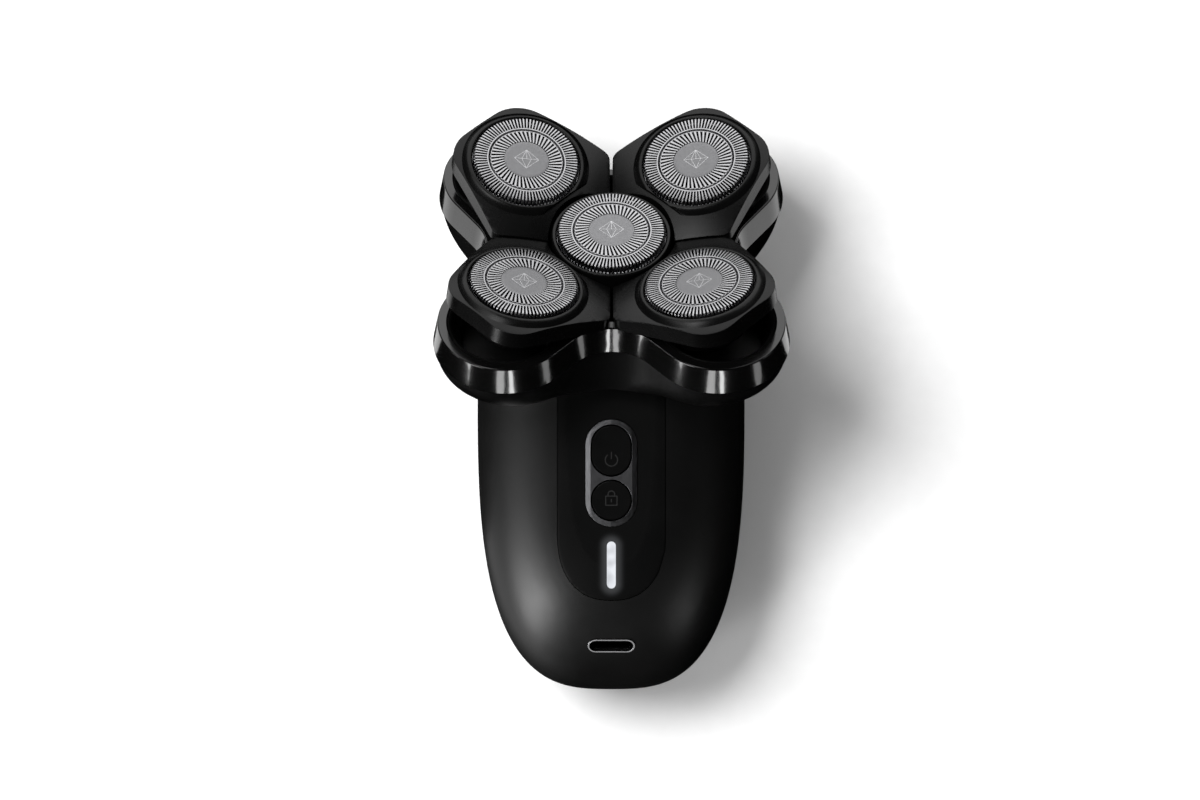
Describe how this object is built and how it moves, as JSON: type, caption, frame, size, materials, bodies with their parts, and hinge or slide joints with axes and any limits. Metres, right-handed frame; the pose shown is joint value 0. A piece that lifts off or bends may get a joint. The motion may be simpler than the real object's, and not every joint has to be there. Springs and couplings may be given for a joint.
{
  "type": "electric shaver",
  "caption": "Palm-held rotary shaver: arched handle with two buttons and a charge light, and a pull-off head of tilting round cutters.",
  "frame": {"origin": "middle of the rest pad's flat outer face on the back of the handle", "axes": "+X across the shaver, +Y along the handle towards the head, +Z out of the front panel"},
  "size_m": [0.0656, 0.1112, 0.0624],
  "materials": {
    "satin_black_abs": "fine satin moulded",
    "satin_black_panel": "fine satin moulded",
    "satin_black_pod": "satin moulded",
    "matt_black_skirt": "matt moulded",
    "matt_black_button": "matt moulded",
    "piano_black": "polished",
    "gunmetal_zinc": "satin plated",
    "white_diffuser": "diffusing, lit",
    "black_silicone": "moulded",
    "black_nylon": "moulded",
    "grey_nylon": "moulded",
    "green_fr4": "solder mask",
    "board_black": "moulded",
    "battery_sleeve": "shrink sleeve",
    "white_acetal": "moulded",
    "steel_bright": "polished",
    "steel_zinc": "zinc plated",
    "foil_steel": "ground and slotted",
    "cutter_steel": "ground"
  },
  "bodies": {
    "handle": {"front_shell": "satin_black_abs", "rear_shell": "satin_black_abs", "rest_pad": "black_silicone", "front_panel": "satin_black_panel", "button_bezel": "gunmetal_zinc", "light_pipe": "white_diffuser", "main_board": "green_fr4", "board_parts": "board_black", "usb_shell": "steel_bright", "usb_tongue": "black_nylon", "battery_cells": "battery_sleeve", "battery_cradle": "grey_nylon", "motor_can": "steel_zinc", "motor_mount": "grey_nylon", "neck_cap": "grey_nylon", "neck_seal": "black_silicone", "neck_magnets": "steel_bright", "housing_screws": "steel_zinc"},
    "power_button": {"power_button": "matt_black_button"},
    "lock_button": {"lock_button": "matt_black_button"},
    "motor_rotor": {"motor_shaft": "steel_bright", "drive_coupling": "white_acetal"},
    "head": {"chassis_band": "piano_black", "chassis_skirt": "matt_black_skirt", "chassis_tray": "black_nylon", "gear_cover": "black_nylon", "gear_pins": "steel_bright", "pivot_pins": "steel_bright", "magnet_keeper": "steel_zinc"},
    "centre_drive": {"centre_gear": "white_acetal", "centre_spindle": "white_acetal"},
    "centre_pod": {"centre_collar": "satin_black_pod", "foil_centre": "foil_steel"},
    "centre_cutter": {"cutter_centre": "cutter_steel"},
    "drive_rear_right": {"gear_rear_right": "white_acetal", "spindle_rear_right": "white_acetal"},
    "pod_rear_right": {"pod_cover_rear_right": "satin_black_pod", "pod_base_rear_right": "black_nylon", "foil_rear_right": "foil_steel"},
    "cutter_rear_right": {"cutter_rear_right": "cutter_steel"},
    "drive_rear_left": {"gear_rear_left": "white_acetal", "spindle_rear_left": "white_acetal"},
    "pod_rear_left": {"pod_cover_rear_left": "satin_black_pod", "pod_base_rear_left": "black_nylon", "foil_rear_left": "foil_steel"},
    "cutter_rear_left": {"cutter_rear_left": "cutter_steel"},
    "drive_front_left": {"gear_front_left": "white_acetal", "spindle_front_left": "white_acetal"},
    "pod_front_left": {"pod_cover_front_left": "satin_black_pod", "pod_base_front_left": "black_nylon", "foil_front_left": "foil_steel"},
    "cutter_front_left": {"cutter_front_left": "cutter_steel"},
    "drive_front_right": {"gear_front_right": "white_acetal", "spindle_front_right": "white_acetal"},
    "pod_front_right": {"pod_cover_front_right": "satin_black_pod", "pod_base_front_right": "black_nylon", "foil_front_right": "foil_steel"},
    "cutter_front_right": {"cutter_front_right": "cutter_steel"}
  },
  "joints": [
    {"name": "power_button_press", "type": "slide", "parent": "handle", "child": "power_button", "axis": [0, 0, -1], "range_m": [0, 0.0005], "stiffness_N_per_m": 900, "springref_m": -0.0008},
    {"name": "lock_button_press", "type": "slide", "parent": "handle", "child": "lock_button", "axis": [0, 0, -1], "range_m": [0, 0.0005], "stiffness_N_per_m": 900, "springref_m": -0.0008},
    {"name": "head_release", "type": "slide", "parent": "handle", "child": "head", "axis": [0, 0.6743, 0.7385], "range_m": [0, 0.012]},
    {"name": "centre_drive_spin", "type": "hinge", "parent": "head", "child": "centre_drive", "pos_m": [0, 0.03223, 0.0304], "axis": [0, 0.6743, 0.7385], "continuous": true},
    {"name": "motor_spin", "type": "hinge", "parent": "handle", "child": "motor_rotor", "pos_m": [0, 0.02414, 0.02154], "axis": [0, 0.6743, 0.7385], "continuous": true},
    {"name": "centre_float", "type": "slide", "parent": "head", "child": "centre_pod", "axis": [0, -0.6743, -0.7385], "range_m": [0, 0.0016], "stiffness_N_per_m": 500, "springref_m": -0.001},
    {"name": "centre_cutter_spin", "type": "hinge", "parent": "centre_pod", "child": "centre_cutter", "pos_m": [0, 0.03965, 0.03852], "axis": [0, 0.6743, 0.7385], "continuous": true},
    {"name": "drive_rear_right_spin", "type": "hinge", "parent": "head", "child": "drive_rear_right", "pos_m": [0.01697, 0.04477, 0.01896], "axis": [0, 0.6743, 0.7385], "continuous": true},
    {"name": "pod_rear_right_tilt", "type": "hinge", "parent": "head", "child": "pod_rear_right", "pos_m": [0.01697, 0.05059, 0.02533], "axis": [-0.7071, 0.5222, -0.4768], "range_deg": [-2, 8], "stiffness_Nm_per_rad": 0.2},
    {"name": "cutter_rear_right_spin", "type": "hinge", "parent": "pod_rear_right", "child": "cutter_rear_right", "pos_m": [0.01697, 0.05059, 0.02533], "axis": [-0.147, 0.551, 0.8215], "continuous": true},
    {"name": "drive_rear_left_spin", "type": "hinge", "parent": "head", "child": "drive_rear_left", "pos_m": [-0.01697, 0.04477, 0.01896], "axis": [0, 0.6743, 0.7385], "continuous": true},
    {"name": "pod_rear_left_tilt", "type": "hinge", "parent": "head", "child": "pod_rear_left", "pos_m": [-0.01697, 0.05059, 0.02533], "axis": [-0.7071, -0.5222, 0.4768], "range_deg": [-2, 8], "stiffness_Nm_per_rad": 0.2},
    {"name": "cutter_rear_left_spin", "type": "hinge", "parent": "pod_rear_left", "child": "cutter_rear_left", "pos_m": [-0.01697, 0.05059, 0.02533], "axis": [0.147, 0.551, 0.8215], "continuous": true},
    {"name": "drive_front_left_spin", "type": "hinge", "parent": "head", "child": "drive_front_left", "pos_m": [-0.01697, 0.0197, 0.04184], "axis": [0, 0.6743, 0.7385], "continuous": true},
    {"name": "pod_front_left_tilt", "type": "hinge", "parent": "head", "child": "pod_front_left", "pos_m": [-0.01697, 0.02553, 0.04822], "axis": [0.7071, -0.5222, 0.4768], "range_deg": [-2, 8], "stiffness_Nm_per_rad": 0.2},
    {"name": "cutter_front_left_spin", "type": "hinge", "parent": "pod_front_left", "child": "cutter_front_left", "pos_m": [-0.01697, 0.02553, 0.04822], "axis": [0.147, 0.7681, 0.6232], "continuous": true},
    {"name": "drive_front_right_spin", "type": "hinge", "parent": "head", "child": "drive_front_right", "pos_m": [0.01697, 0.0197, 0.04184], "axis": [0, 0.6743, 0.7385], "continuous": true},
    {"name": "pod_front_right_tilt", "type": "hinge", "parent": "head", "child": "pod_front_right", "pos_m": [0.01697, 0.02553, 0.04822], "axis": [0.7071, 0.5222, -0.4768], "range_deg": [-2, 8], "stiffness_Nm_per_rad": 0.2},
    {"name": "cutter_front_right_spin", "type": "hinge", "parent": "pod_front_right", "child": "cutter_front_right", "pos_m": [0.01697, 0.02553, 0.04822], "axis": [-0.147, 0.7681, 0.6232], "continuous": true}
  ],
  "couplings": [
    {"joint": "motor_spin", "follows": "centre_drive_spin", "ratio": 1},
    {"joint": "centre_cutter_spin", "follows": "centre_drive_spin", "ratio": 1},
    {"joint": "drive_rear_right_spin", "follows": "centre_drive_spin", "ratio": -1.7273},
    {"joint": "cutter_rear_right_spin", "follows": "centre_drive_spin", "ratio": -1.7273},
    {"joint": "drive_rear_left_spin", "follows": "centre_drive_spin", "ratio": -1.7273},
    {"joint": "cutter_rear_left_spin", "follows": "centre_drive_spin", "ratio": -1.7273},
    {"joint": "drive_front_left_spin", "follows": "centre_drive_spin", "ratio": -1.7273},
    {"joint": "cutter_front_left_spin", "follows": "centre_drive_spin", "ratio": -1.7273},
    {"joint": "drive_front_right_spin", "follows": "centre_drive_spin", "ratio": -1.7273},
    {"joint": "cutter_front_right_spin", "follows": "centre_drive_spin", "ratio": -1.7273}
  ]
}
